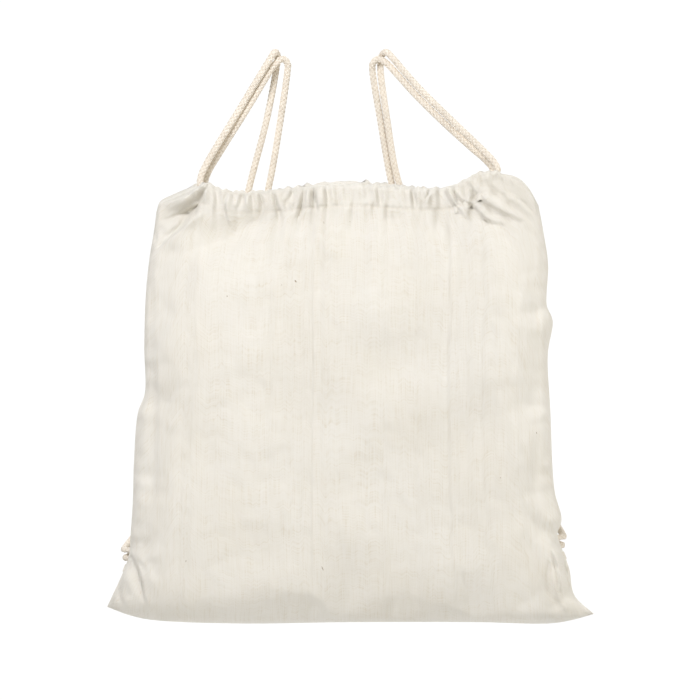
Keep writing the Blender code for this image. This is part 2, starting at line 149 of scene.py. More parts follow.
def make_world():
    """White to the camera; to the bag, a sky that is white above and brown below."""
    world = bpy.data.worlds.new("studio")
    bpy.context.scene.world = world
    world.use_nodes = True
    nodes, links = world.node_tree.nodes, world.node_tree.links
    background = nodes["Background"]
    seen = nodes.new("ShaderNodeBackground")
    seen.inputs["Color"].default_value = (1.0, 1.0, 1.0, 1.0)
    seen.inputs["Strength"].default_value = 1.05
    rays, mix = nodes.new("ShaderNodeLightPath"), nodes.new("ShaderNodeMixShader")
    direction = nodes.new("ShaderNodeSeparateXYZ")
    links.new(nodes.new("ShaderNodeTexCoord").outputs["Generated"], direction.inputs["Vector"])
    height = nodes.new("ShaderNodeMapRange")
    height.inputs["From Min"].default_value = -1.0
    links.new(direction.outputs["Z"], height.inputs["Value"])
    below, low, high, above = (0.05, 0.032, 0.015), (0.22, 0.17, 0.105), (0.66, 0.63, 0.55), (1.0, 1.0, 1.0)
    dome = add_ramp(world.node_tree, height.outputs["Result"], [
        (0.0, below), (0.38, low), (0.62, high), (1.0, above),
    ])
    links.new(dome, background.inputs["Color"])
    background.inputs["Strength"].default_value = 0.62
    links.new(rays.outputs["Is Camera Ray"], mix.inputs["Fac"])
    links.new(background.outputs["Background"], mix.inputs[1])
    links.new(seen.outputs["Background"], mix.inputs[2])
    links.new(mix.outputs["Shader"], nodes["World Output"].inputs["Surface"])


def make_lights():
    bag = (0.0, 0.0, -0.25)
    add_area_light("key", (-0.48, -1.15, 0.60), bag, 0.45, 14.4, (0.97, 0.978, 1.03))
    add_area_light("fill", (0.8, -1.6, 0.0), bag, 1.5, 3.0, (1.0, 0.93, 0.72))
    add_area_light("right", (1.7, -0.15, 0.25), bag, 0.9, 12.0, (0.99, 0.99, 1.0))
    add_area_light("back", (-0.6, 1.7, 0.7), bag, 1.4, 22.0)
    bpy.context.scene.view_settings.view_transform = "Standard"


def make_floor():
    """A pale floor well below the hanging bag, out of the main picture."""
    mesh = bpy.data.meshes.new("floor")
    reach, height = 2.4, -1.0
    corners = [
        (-reach, -reach, height), (reach, -reach, height), (reach, reach, height), (-reach, reach, height),
    ]
    mesh.from_pydata(corners, [], [(0, 1, 2, 3)])
    floor = bpy.data.objects.new("floor", mesh)
    bpy.context.scene.collection.objects.link(floor)
    paint = bpy.data.materials.new("pale_floor")
    paint.use_nodes = True
    shader = paint.node_tree.nodes["Principled BSDF"]
    shader.inputs["Base Color"].default_value = (0.86, 0.86, 0.86, 1.0)
    shader.inputs["Roughness"].default_value = 0.7
    mesh.materials.append(paint)


# ---------------------------------------------------------------- curves and meshes


def smooth_route(route, step=None, count=None):
    """Evenly spaced points on a centripetal Catmull-Rom curve through the route."""
    knots = np.array(route, float)
    knots = np.vstack([2 * knots[0] - knots[1], knots, 2 * knots[-1] - knots[-2]])
    dense = []
    for before, start, end, after in zip(knots, knots[1:], knots[2:], knots[3:]):
        t1 = math.sqrt(np.linalg.norm(start - before))
        t2 = t1 + math.sqrt(np.linalg.norm(end - start))
        t3 = t2 + math.sqrt(np.linalg.norm(after - end))
        t = np.linspace(t1, t2, 24, endpoint=False)[:, None]
        a1 = before * (t1 - t) / t1 + start * t / t1
        a2 = start * (t2 - t) / (t2 - t1) + end * (t - t1) / (t2 - t1)
        a3 = end * (t3 - t) / (t3 - t2) + after * (t - t2) / (t3 - t2)
        b1 = a1 * (t2 - t) / t2 + a2 * t / t2
        b2 = a2 * (t3 - t) / (t3 - t1) + a3 * (t - t1) / (t3 - t1)
        dense.append(b1 * (t2 - t) / (t2 - t1) + b2 * (t - t1) / (t2 - t1))
    dense = np.vstack([*dense, knots[-2:-1]])
    length = np.concatenate([[0], np.cumsum(np.linalg.norm(np.diff(dense, axis=0), axis=1))])
    count = count or int(round(length[-1] / step)) + 1
    wanted = np.linspace(0, length[-1], count)
    return np.stack([np.interp(wanted, length, dense[:, i]) for i in range(dense.shape[1])], axis=1)


def unit(vectors):
    return vectors / np.linalg.norm(vectors, axis=-1, keepdims=True)


def frames_along(path):
    """Two directions square to the path at each point, carried along without twisting."""
    along = unit(np.gradient(path, axis=0))
    first = np.cross(along[0], (0.0, 0.0, 1.0) if abs(along[0][2]) < 0.9 else (1.0, 0.0, 0.0))
    normals = [first / np.linalg.norm(first)]
    for direction in along[1:]:
        carried = normals[-1] - direction * np.dot(normals[-1], direction)
        normals.append(carried / np.linalg.norm(carried))
    normals = np.array(normals)
    return normals, np.cross(along, normals)


def mesh_object(name, points, faces, material, uv=None):
    mesh = bpy.data.meshes.new(name)
    mesh.from_pydata(points.tolist(), [], faces.tolist() if hasattr(faces, "tolist") else faces)
    if uv is not None:
        layer = mesh.uv_layers.new(name="cloth")
        corners = np.empty(len(mesh.loops), np.int32)
        mesh.loops.foreach_get("vertex_index", corners)
        layer.data.foreach_set("uv", uv[corners].astype(np.float32).ravel())
    mesh.shade_smooth()
    mesh.materials.append(material)
    obj = bpy.data.objects.new(name, mesh)
    bpy.context.scene.collection.objects.link(obj)
    return obj


def grid_faces(rows, columns, closed=False):
    """Quads of a grid of rows x columns points; closed joins the last column to the first."""
    index = np.arange(rows * columns).reshape(rows, columns)
    right = np.roll(index, -1, axis=1)
    if not closed:
        index, right = index[:, :-1], right[:, :-1]
    return np.stack([index[:-1], right[:-1], right[1:], index[1:]], axis=-1).reshape(-1, 4)


# ---------------------------------------------------------------- materials


def new_material(name):
    material = bpy.data.materials.new(name)
    material.use_nodes = True
    tree = material.node_tree
    return material, tree, tree.nodes["Principled BSDF"]


def add_math(tree, operation, first, second=None, third=None):
    node = tree.nodes.new("ShaderNodeMath")
    node.operation = operation
    for socket, value in zip(node.inputs, (first, second, third)):
        if hasattr(value, "links"):
            tree.links.new(value, socket)
        elif value is not None:
            socket.default_value = value
    return node.outputs[0]


def add_noise(tree, vector, scale, detail=3.0, stretch=(1.0, 1.0, 1.0), roughness=0.5):
    mapping = tree.nodes.new("ShaderNodeMapping")
    mapping.inputs["Scale"].default_value = stretch
    tree.links.new(vector, mapping.inputs["Vector"])
    noise = tree.nodes.new("ShaderNodeTexNoise")
    noise.inputs["Scale"].default_value = scale
    noise.inputs["Detail"].default_value = detail
    noise.inputs["Roughness"].default_value = roughness
    tree.links.new(mapping.outputs["Vector"], noise.inputs["Vector"])
    return noise.outputs["Fac"]


def add_ramp(tree, value, stops):
    ramp = tree.nodes.new("ShaderNodeValToRGB")
    elements = ramp.color_ramp.elements
    while len(elements) > 1:
        elements.remove(elements[-1])
    elements[0].position, elements[0].color = stops[0][0], (*stops[0][1], 1.0)
    for position, colour in stops[1:]:
        elements.new(position).color = (*colour, 1.0)
    tree.links.new(value, ramp.inputs["Fac"])
    return ramp.outputs["Color"]


def add_mix(tree, factor, first, second, blend="MIX"):
    mix = tree.nodes.new("ShaderNodeMix")
    mix.data_type = "RGBA"
    mix.blend_type = blend
    sockets = [s for s in mix.inputs if s.enabled]
    for socket, value in zip(sockets, (factor, first, second)):
        if hasattr(value, "links"):
            tree.links.new(value, socket)
        else:
            socket.default_value = value
    return [s for s in mix.outputs if s.enabled][0]


def canvas_material(name, tone=(1.0, 1.0, 1.0)):
    """Plain-woven unbleached cotton: threads, slubs, uneven cream colour and specks of seed husk."""
    material, tree, shader = new_material(name)
    coords = tree.nodes.new("ShaderNodeTexCoord").outputs["UV"]
    split = tree.nodes.new("ShaderNodeSeparateXYZ")
    tree.links.new(coords, split.inputs["Vector"])
    thread_spacing = 0.00085
    thread = 2 * math.pi / thread_spacing
    wander = add_math(tree, "MULTIPLY", add_noise(tree, coords, 90.0, 2.0), 2.2)
    warp = add_math(tree, "SINE", add_math(tree, "MULTIPLY_ADD", split.outputs["X"], thread, wander))
    weft = add_math(tree, "SINE", add_math(tree, "MULTIPLY_ADD", split.outputs["Y"], thread, wander))
    over = add_math(tree, "MULTIPLY", warp, weft)
    warp_slub = add_noise(tree, coords, 1.0, 3.0, (950.0, 38.0, 1.0))
    weft_slub = add_noise(tree, coords, 1.0, 3.0, (34.0, 950.0, 1.0))
    slub = add_math(tree, "ADD", warp_slub, weft_slub)
    clouds = add_noise(tree, coords, 14.0, 4.0)
    cream = add_ramp(tree, clouds, [
        (0.30, tuple(c * t for c, t in zip((0.856, 0.822, 0.748), tone))),
        (0.50, tuple(c * t for c, t in zip((0.868, 0.838, 0.772), tone))),
        (0.72, tuple(c * t for c, t in zip((0.888, 0.862, 0.804), tone))),
    ])
    slub_level = add_math(tree, "MULTIPLY", slub, 0.5)
    threads = add_ramp(tree, slub_level, [
        (0.34, (0.90, 0.87, 0.81)), (0.46, (0.975, 0.97, 0.955)), (0.60, (1.0, 1.0, 1.0)),
    ])
    colour = add_mix(tree, 1.0, cream, threads, "MULTIPLY")
    # painted shade: the colour is darkened a little where the weave's bump sinks, between the crossing
    # threads
    shade = add_math(tree, "MULTIPLY_ADD", over, 0.018, 0.982)
    shade_colour = tree.nodes.new("ShaderNodeCombineColor")
    for socket in shade_colour.inputs:
        tree.links.new(shade, socket)
    colour = add_mix(tree, 1.0, colour, shade_colour.outputs["Color"], "MULTIPLY")
    # specks of husk: small spots in a few of the cells
    cells = tree.nodes.new("ShaderNodeTexVoronoi")
    cells.inputs["Scale"].default_value = 95.0
    tree.links.new(coords, cells.inputs["Vector"])
    picked = tree.nodes.new("ShaderNodeSeparateColor")
    tree.links.new(cells.outputs["Color"], picked.inputs["Color"])
    rare = add_math(tree, "GREATER_THAN", picked.outputs["Red"], 0.945)
    spot_size = add_math(tree, "MULTIPLY_ADD", picked.outputs["Green"], 0.050, 0.028)
    small = add_math(tree, "LESS_THAN", cells.outputs["Distance"], spot_size)
    speck = add_math(tree, "MULTIPLY", add_math(tree, "MULTIPLY", rare, small), 0.80)
    colour = add_mix(tree, speck, colour, (0.33, 0.24, 0.15, 1.0))
    tree.links.new(colour, shader.inputs["Base Color"])
    rough = add_math(tree, "MULTIPLY_ADD", slub, -0.06, 0.98)
    tree.links.new(rough, shader.inputs["Roughness"])
    shader.inputs["Specular IOR Level"].default_value = 0.12
    shader.inputs["Sheen Weight"].default_value = 0.18
    shader.inputs["Sheen Roughness"].default_value = 0.55
    height = add_math(tree, "MULTIPLY_ADD", slub, 1.3, over)
    bump = tree.nodes.new("ShaderNodeBump")
    bump.inputs["Strength"].default_value = 0.50
    bump.inputs["Distance"].default_value = 0.00022
    tree.links.new(height, bump.inputs["Height"])
    tree.links.new(bump.outputs["Normal"], shader.inputs["Normal"])
    return material


def yarn_material(name, colour, painted_groove_shade):
    """Cotton yarn: fine fibres along it, and painted shade that darkens it in the braid's grooves."""
    material, tree, shader = new_material(name)
    coords = tree.nodes.new("ShaderNodeTexCoord")
    fuzz = add_noise(tree, coords.outputs["Object"], 2400.0, 4.0, (1.0, 1.0, 0.6))
    patches = add_noise(tree, coords.outputs["Object"], 60.0, 3.0)
    darker, lighter = tuple(c * 0.93 for c in colour), tuple(min(c * 1.03, 1.0) for c in colour)
    tone = add_ramp(tree, patches, [(0.32, darker), (0.55, colour), (0.75, lighter)])
    fibres = add_ramp(tree, fuzz, [(0.36, (0.86, 0.84, 0.80)), (0.56, (1.0, 1.0, 1.0))])
    tone = add_mix(tree, 1.0, tone, fibres, "MULTIPLY")
    # painted shade: the depth in a groove, stored on the cord's points, mixes the colour towards the painted
    # shade colour
    depth = tree.nodes.new("ShaderNodeAttribute")
    depth.attribute_name = "painted_groove_shade"
    low = add_math(tree, "MULTIPLY", depth.outputs["Fac"], 0.75)
    tone = add_mix(tree, low, tone, (*painted_groove_shade, 1.0))
    tree.links.new(tone, shader.inputs["Base Color"])
    tree.links.new(add_math(tree, "MULTIPLY_ADD", fuzz, 0.10, 0.84), shader.inputs["Roughness"])
    shader.inputs["Specular IOR Level"].default_value = 0.15
    shader.inputs["Sheen Weight"].default_value = 0.30
    shader.inputs["Sheen Roughness"].default_value = 0.5
    bump = tree.nodes.new("ShaderNodeBump")
    bump.inputs["Strength"].default_value = 0.5
    bump.inputs["Distance"].default_value = 0.00012
    tree.links.new(fuzz, bump.inputs["Height"])
    tree.links.new(bump.outputs["Normal"], shader.inputs["Normal"])
    return material


# ---------------------------------------------------------------- braided cord


def braid_height(around, along, pitch, carriers):
    """Height of a round braid's surface, from 0 in the grooves between its yarns to 1 on their crowns."""
    right = around * carriers + along / pitch * carriers
    left = around * carriers - along / pitch * carriers
    right_cell, left_cell = np.floor(right), np.floor(left)
    on_top = (right_cell + left_cell) % 2 < 1
    across = np.where(on_top, right - right_cell, left - left_cell) * 2 - 1
    lengthwise = np.where(on_top, left - left_cell, right - right_cell) * 2 - 1
    crown = np.sqrt(np.clip(1 - np.abs(across) ** 2.2, 0, 1))
    return crown * (1 - 0.55 * np.abs(lengthwise) ** 3)


def braided_cord(name, path, material, sides=28, diameter=CORD):
    """A cord whose surface is a round braid. path is its centreline, in close, even steps."""
    carriers, pitch, relief = 4, 0.0145, 0.00065
    normals, binormals = frames_along(path)
    step = np.linalg.norm(path[1] - path[0])
    along = np.arange(len(path))[:, None] * step
    around = np.arange(sides)[None] / sides
    height = braid_height(around + 0 * along, along + 0 * around, pitch, carriers)
    radius = diameter / 2 - relief * (1 - height)
    angle = 2 * math.pi * around
    rings = (
        path[:, None]
        + (radius * np.cos(angle))[..., None] * normals[:, None]
        + (radius * np.sin(angle))[..., None] * binormals[:, None]
    )
    points = np.vstack([rings.reshape(-1, 3), path[:1], path[-1:]])
    quads = grid_faces(len(path), sides, closed=True).tolist()
    start, end = len(points) - 2, len(points) - 1
    last = (len(path) - 1) * sides
    quads += [[start, (i + 1) % sides, i] for i in range(sides)]
    quads += [[end, last + i, last + (i + 1) % sides] for i in range(sides)]
    obj = mesh_object(name, points, quads, material)
    # painted shade: how deep in a groove between the yarns each point lies, which the yarn material darkens
    # as shade; the end caps get a little of it
    painted_groove_shade = obj.data.attributes.new("painted_groove_shade", "FLOAT", "POINT")
    depth = np.clip(1.15 - 1.6 * height.ravel(), 0, 1)
    painted_groove_shade.data.foreach_set("value", np.concatenate([depth, [0.3, 0.3]]).astype(np.float32))
    return obj


def make_straps(material):
    for name, (length, route) in STRANDS.items():
        path = smooth_route(route, step=0.00055)
        cord = braided_cord(f"braided_{name}", path, material, diameter=STRAND)
        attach(cord, "left_strap" if name.startswith("left") else "right_strap")
        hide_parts(name)


# ---------------------------------------------------------------- cloth

# Outlines of the filled bag seen from the front, as (x, z)
MOUTH_LINE = [
    (-0.1510, -0.1230), (-0.1482, -0.1150), (-0.1390, -0.1098), (-0.1290, -0.1055), (-0.1190, -0.1010),
    (-0.1110, -0.1002), (-0.1010, -0.1048), (-0.0900, -0.1068), (-0.0600, -0.1060), (-0.0300, -0.1030),
    (0.0, -0.1012), (0.0300, -0.1028), (0.0600, -0.1045), (0.0780, -0.1030), (0.0900, -0.0975),
    (0.1010, -0.0920), (0.1110, -0.0912), (0.1200, -0.0935), (0.1310, -0.0965), (0.1390, -0.1040),
    (0.1470, -0.1180),
]
LEFT_EDGE = [
    (-0.1510, -0.1230), (-0.1532, -0.1400), (-0.1560, -0.1560), (-0.1591, -0.1850), (-0.1605, -0.2280),
    (-0.1600, -0.2640), (-0.1655, -0.2800), (-0.1685, -0.3170), (-0.1694, -0.3480), (-0.1716, -0.3810),
    (-0.1722, -0.3900), (-0.1760, -0.4015), (-0.1895, -0.4310),
]
RIGHT_EDGE = [
    (0.1470, -0.1180), (0.1510, -0.1395), (0.1545, -0.1640), (0.1535, -0.1960), (0.1580, -0.2080),
    (0.1542, -0.2340), (0.1562, -0.2780), (0.1595, -0.3400), (0.1650, -0.3630), (0.1618, -0.3742),
    (0.1648, -0.3845), (0.1710, -0.4010), (0.1750, -0.4218), (0.1903, -0.4366),
]
FOOT_LINE = [
    (-0.1895, -0.4310), (-0.1720, -0.4376), (-0.1545, -0.4412), (-0.0900, -0.4440), (0.0, -0.4430),
    (0.1000, -0.4430), (0.1550, -0.4440), (0.1725, -0.4415), (0.1903, -0.4366),
]
# Where cords pass out between the two panels: place, half opening, reach
CORD_GAPS = [
    ((-0.1150, -0.1015), 0.0068, 0.0080),
    ((0.1130, -0.0915), 0.0068, 0.0080),
    ((-0.1735, -0.3895), 0.0046, 0.0055),
    ((0.1640, -0.3795), 0.0046, 0.0055),
]


def along_line(line, fractions):
    shares = np.linspace(0, 1, len(line))
    return np.stack([np.interp(fractions, shares, line[:, i]) for i in range(2)], axis=-1)


def laid_out(across, down):
    """(x, z) over the bag's outline, for fractions across (left to right) and down (mouth to bottom)."""
    lines = [smooth_route(line, count=600) for line in (MOUTH_LINE, FOOT_LINE, LEFT_EDGE, RIGHT_EDGE)]
    top, foot = (along_line(line, across)[None] for line in lines[:2])
    left, right = (along_line(line, down)[:, None] for line in lines[2:])
    a, d = across[None, :, None], down[:, None, None]
    corners = (
        (1 - a) * (1 - d) * top[:, :1] + a * (1 - d) * top[:, -1:]
        + (1 - a) * d * foot[:, :1] + a * d * foot[:, -1:]
    )
    return (1 - d) * top + d * foot + (1 - a) * left + a * right - corners


def ease(x, low, high):
    t = np.clip((x - low) / (high - low), 0, 1)
    return t * t * (3 - 2 * t)


def swell(flat, across, down):
    """How far the cloth stands out from the bag's middle plane, before folds."""
    a, d = across[None, :], down[:, None]
    drop = flat[:1, :, 1] - flat[:, :, 1]
    edge = np.abs(2 * a - 1)
    # closing to nothing at the side seams and the foot
    sides = (1 - edge**8) ** 0.42
    closing = (1 - np.clip(d, 0, 1) ** 17) ** 0.5
    # open along the mouth, rounded over at the shoulders beyond its ends
    within = ease(a, 0.02, 0.12) * ease(1 - a, 0.02, 0.12)
    shoulder = np.sqrt(1 - (1 - np.clip(d / 0.07, 0, 1)) ** 2)
    lips = within + (1 - within) * shoulder
    # the casing: a rounded upper edge, deepest at the middle
    fold = np.sqrt(1 - (1 - np.clip(drop / 0.0050, 0, 1)) ** 2)
    middle = np.sin(math.pi * np.clip((a - 0.13) / 0.74, 0, 1))
    mouth = 0.0034 + (0.0042 + 0.0056 * middle) * fold
    # from the casing out to the full depth of the filling, less at the upper corners
    rise = np.sin(math.pi / 2 * np.clip((drop - 0.004) / 0.125, 0, 1)) ** 1.3
    corner = 1 - 0.45 * (1 - ease(1 - edge, 0.0, 0.35)) * (1 - ease(drop, 0.02, 0.14))
    depth = sides * closing * lips * (mouth + (BULGE - mouth) * rise * corner)
    for place, half, reach in CORD_GAPS:
        distance = np.hypot(flat[..., 0] - place[0], flat[..., 1] - place[1])
        depth = np.hypot(depth, half * np.exp(-((distance / reach) ** 2)))
    return depth


def crease(flat, points, width, height, kind="valley"):
    """A fold along a smooth line: how far it pushes the cloth out at each place."""
    line = smooth_route(points, count=40)
    best = np.full(flat.shape[:2], 1e9)
    signed, share = np.zeros_like(best), np.zeros_like(best)
    for i, (start, end) in enumerate(zip(line, line[1:])):
        run = end - start
        offset = flat - start
        t = np.clip((offset @ run) / (run @ run), 0, 1)
        away = offset - t[..., None] * run
        distance = np.hypot(away[..., 0], away[..., 1])
        side = np.sign(run[0] * offset[..., 1] - run[1] * offset[..., 0])
        nearer = distance < best
        best = np.where(nearer, distance, best)
        signed = np.where(nearer, distance * side, signed)
        share = np.where(nearer, (i + t) / (len(line) - 1), share)
    ends = np.sin(math.pi * np.clip(0.04 + 0.92 * share, 0, 1)) ** 0.6
    ratio = signed / width
    if kind == "pleat":
        crest = np.where(ratio > 0, np.exp(-((ratio / 1.9) ** 2)), np.exp(-((ratio / 0.35) ** 2)))
        shape = crest - 0.8 * np.exp(-(((ratio + 0.75) / 0.55) ** 2))
    else:
        shape = -np.exp(-np.abs(ratio) ** 1.3) + 0.45 * np.exp(-((np.abs(ratio) - 1.9) ** 2) / 0.8)
    return shape * ends * height


def waves(values, seed, low, high, count=7):
    """A smooth irregular wave of unit size with wavelengths from low to high."""
    rng = np.random.default_rng(seed)
    total = np.zeros_like(values)
    for _ in range(count):
        length = low * (high / low) ** rng.random()
        total = total + np.sin(2 * math.pi * (values / length + rng.random())) * (0.6 + 0.4 * rng.random())
    return total / math.sqrt(count / 2)


def billow(flat, seed, low, high, count=24):
    """Smooth uneven swelling over the cloth, of about unit size."""
    rng = np.random.default_rng(seed)
    total = np.zeros(flat.shape[:2])
    for _ in range(count):
        length, angle, phase = low * (high / low) ** rng.random(), math.pi * rng.random(), rng.random()
        place = flat[..., 0] * math.cos(angle) + flat[..., 1] * math.sin(angle)
        total += np.sin(2 * math.pi * (place / length + phase)) * (length / high)
    return total / math.sqrt(count / 4)


# Folds of the front, each (line, width, height, kind)
FRONT_FOLDS = [
    # gathers in the casing
    ([(-0.1100, -0.1050), (-0.1178, -0.1199)], 0.0024, 0.0016, "pleat"),
    ([(-0.0811, -0.1070), (-0.0866, -0.1223)], 0.0020, 0.0012, "valley"),
    ([(-0.0585, -0.1060), (-0.0530, -0.1254)], 0.0022, 0.0013, "pleat"),
    ([(-0.0429, -0.1045), (-0.0484, -0.1176)], 0.0018, 0.0012, "valley"),
    ([(-0.0398, -0.1035), (-0.0398, -0.1110)], 0.0014, 0.0009, "valley"),
    ([(-0.0273, -0.1030), (-0.0242, -0.1215)], 0.0020, 0.0020, "pleat"),
    ([(0.0120, -0.1020), (0.0150, -0.1120)], 0.0020, 0.0008, "valley"),
    ([(0.0420, -0.1040), (0.0440, -0.1180)], 0.0022, 0.0010, "valley"),
    ([(0.0640, -0.1040), (0.0600, -0.1160)], 0.0020, 0.0009, "pleat"),
    ([(-0.0930, -0.1075), (-0.0960, -0.1180), (-0.0935, -0.1310)], 0.0026, 0.0012, "pleat"),
    ([(-0.0690, -0.1065), (-0.0660, -0.1190), (-0.0700, -0.1330)], 0.0024, 0.0011, "pleat"),
    ([(-0.0330, -0.1035), (-0.0350, -0.1180), (-0.0390, -0.1300)], 0.0024, 0.0014, "pleat"),
    ([(-0.0190, -0.1030), (-0.0175, -0.1170), (-0.0200, -0.1450)], 0.0026, 0.0013, "valley"),
    ([(0.0500, -0.1035), (0.0530, -0.1180)], 0.0022, 0.0010, "pleat"),
    ([(0.0740, -0.1035), (0.0800, -0.1160), (0.0900, -0.1270)], 0.0026, 0.0014, "pleat"),
    # pleats that run out from the left end of the casing
    ([(-0.1123, -0.1012), (-0.1256, -0.1106), (-0.1443, -0.1176)], 0.0030, 0.0030, "pleat"),
    ([(-0.1201, -0.1012), (-0.1303, -0.1067), (-0.1474, -0.1145)], 0.0022, 0.0020, "valley"),
    ([(-0.1140, -0.1120), (-0.1240, -0.1220), (-0.1400, -0.1290)], 0.0040, 0.0028, "valley"),
    ([(-0.1178, -0.1199), (-0.1290, -0.1370), (-0.1420, -0.1480)], 0.0050, 0.0022, "pleat"),
    # and from the right end
    ([(0.0811, -0.1050), (0.0874, -0.1145), (0.0959, -0.1184), (0.1053, -0.1285), (0.1154, -0.1324)],
     0.0028, 0.0018, "pleat"),
    ([(0.1020, -0.0990), (0.1123, -0.1098)], 0.0024, 0.0010, "valley"),
    ([(0.1147, -0.0981), (0.1290, -0.1090), (0.1451, -0.1215)], 0.0030, 0.0017, "valley"),
    ([(0.0930, -0.0985), (0.1000, -0.1100), (0.1130, -0.1200), (0.1310, -0.1290)], 0.0036, 0.0017, "pleat"),
    ([(0.1080, -0.1000), (0.1180, -0.1130), (0.1330, -0.1230), (0.1440, -0.1330)], 0.0030, 0.0012, "valley"),
    # soft folds that hang from the stitches
    ([(-0.0655, -0.1238), (-0.0860, -0.1390), (-0.1123, -0.1519)], 0.0090, 0.0022, "valley"),
    ([(-0.0296, -0.1238), (-0.0304, -0.1519)], 0.0070, 0.0016, "valley"),
    ([(-0.0179, -0.1449), (-0.0195, -0.1628)], 0.0060, 0.0012, "pleat"),
    ([(0.0250, -0.1207), (0.0359, -0.1340)], 0.0060, 0.0016, "valley"),
    ([(0.0694, -0.1184), (0.0772, -0.1371), (0.0800, -0.1560)], 0.0070, 0.0018, "valley"),
    ([(0.1154, -0.1324), (0.1240, -0.1520), (0.1290, -0.1800)], 0.0090, 0.0020, "valley"),
    ([(-0.1123, -0.1400), (-0.1240, -0.1700), (-0.1300, -0.2100)], 0.0120, 0.0018, "valley"),
    # creases where the lower corners are drawn in by the cords
    ([(-0.1715, -0.3898), (-0.1615, -0.4078), (-0.1552, -0.4179)], 0.0045, 0.0042, "valley"),
    ([(-0.1722, -0.3880), (-0.1590, -0.3800), (-0.1450, -0.3700)], 0.0060, 0.0022, "valley"),
    ([(-0.1740, -0.4000), (-0.1760, -0.4180), (-0.1700, -0.4300)], 0.0040, 0.0020, "pleat"),
    ([(0.1615, -0.3742), (0.1640, -0.3860), (0.1665, -0.4020), (0.1730, -0.4218)], 0.0042, 0.0042, "valley"),
    ([(0.1618, -0.3742), (0.1500, -0.3700), (0.1380, -0.3600)], 0.0060, 0.0022, "valley"),
    ([(0.1550, -0.3980), (0.1580, -0.4150), (0.1640, -0.4280)], 0.0050, 0.0020, "pleat"),
    ([(-0.1725, -0.3860), (-0.1640, -0.3970), (-0.1590, -0.4100), (-0.1560, -0.4230)],
     0.0020, 0.0030, "pleat"),
    ([(-0.1700, -0.3905), (-0.1610, -0.3960), (-0.1560, -0.4020)], 0.0018, 0.0016, "valley"),
    ([(0.1600, -0.3800), (0.1655, -0.3900), (0.1680, -0.4040), (0.1690, -0.4180)], 0.0024, 0.0048, "valley"),
    ([(0.1560, -0.3850), (0.1600, -0.3980), (0.1620, -0.4150)], 0.0022, 0.0024, "pleat"),
    ([(0.1690, -0.4180), (0.1600, -0.4260), (0.1480, -0.4300)], 0.0040, 0.0018, "valley"),
    # soft ridges where the face turns into the sides
    ([(-0.1500, -0.1500), (-0.1480, -0.2200), (-0.1470, -0.3200), (-0.1530, -0.3900)],
     0.0080, 0.0014, "pleat"),
    ([(0.1450, -0.1500), (0.1500, -0.2300), (0.1490, -0.3300), (0.1470, -0.4000)], 0.0080, 0.0014, "pleat"),
    # dents in the sides of the filling
    ([(-0.1600, -0.2640), (-0.1500, -0.2700), (-0.1380, -0.2720)], 0.0070, 0.0016, "valley"),
    ([(0.1535, -0.1960), (0.1440, -0.2010), (0.1300, -0.2020)], 0.0070, 0.0016, "valley"),
]

BACK_FOLDS = [
    ([(-0.0950, -0.1060), (-0.0980, -0.1200)], 0.0020, 0.0014, "valley"),
    ([(-0.0700, -0.1060), (-0.0660, -0.1210)], 0.0022, 0.0014, "pleat"),
    ([(-0.0450, -0.1040), (-0.0480, -0.1180)], 0.0020, 0.0012, "valley"),
    ([(-0.0180, -0.1020), (-0.0150, -0.1190)], 0.0020, 0.0016, "pleat"),
    ([(0.0090, -0.1010), (0.0060, -0.1150)], 0.0018, 0.0012, "valley"),
    ([(0.0330, -0.1030), (0.0360, -0.1190)], 0.0022, 0.0014, "valley"),
    ([(0.0610, -0.1040), (0.0590, -0.1200)], 0.0020, 0.0014, "pleat"),
    ([(0.0850, -0.1010), (0.0900, -0.1150)], 0.0022, 0.0014, "valley"),
    ([(-0.1140, -0.1040), (-0.1270, -0.1150), (-0.1430, -0.1230)], 0.0036, 0.0030, "pleat"),
    ([(-0.1100, -0.1150), (-0.1230, -0.1330), (-0.1360, -0.1500)], 0.0060, 0.0026, "valley"),
    ([(0.1060, -0.0990), (0.1200, -0.1100), (0.1400, -0.1220)], 0.0036, 0.0030, "pleat"),
    ([(0.1050, -0.1110), (0.1180, -0.1300), (0.1300, -0.1500)], 0.0060, 0.0026, "valley"),
    ([(-0.0800, -0.1240), (-0.0860, -0.1550)], 0.0080, 0.0018, "valley"),
    ([(-0.0150, -0.1230), (-0.0120, -0.1600)], 0.0080, 0.0018, "valley"),
    ([(0.0500, -0.1220), (0.0540, -0.1560)], 0.0080, 0.0018, "valley"),
    ([(-0.1722, -0.3900), (-0.1600, -0.4050), (-0.1450, -0.4150)], 0.0050, 0.0040, "valley"),
    ([(-0.1700, -0.3860), (-0.1560, -0.3740), (-0.1360, -0.3640)], 0.0070, 0.0026, "valley"),
    ([(0.1620, -0.3780), (0.1580, -0.3960), (0.1450, -0.4120)], 0.0050, 0.0040, "valley"),
    ([(0.1600, -0.3740), (0.1460, -0.3640), (0.1280, -0.3560)], 0.0070, 0.0026, "valley"),
]


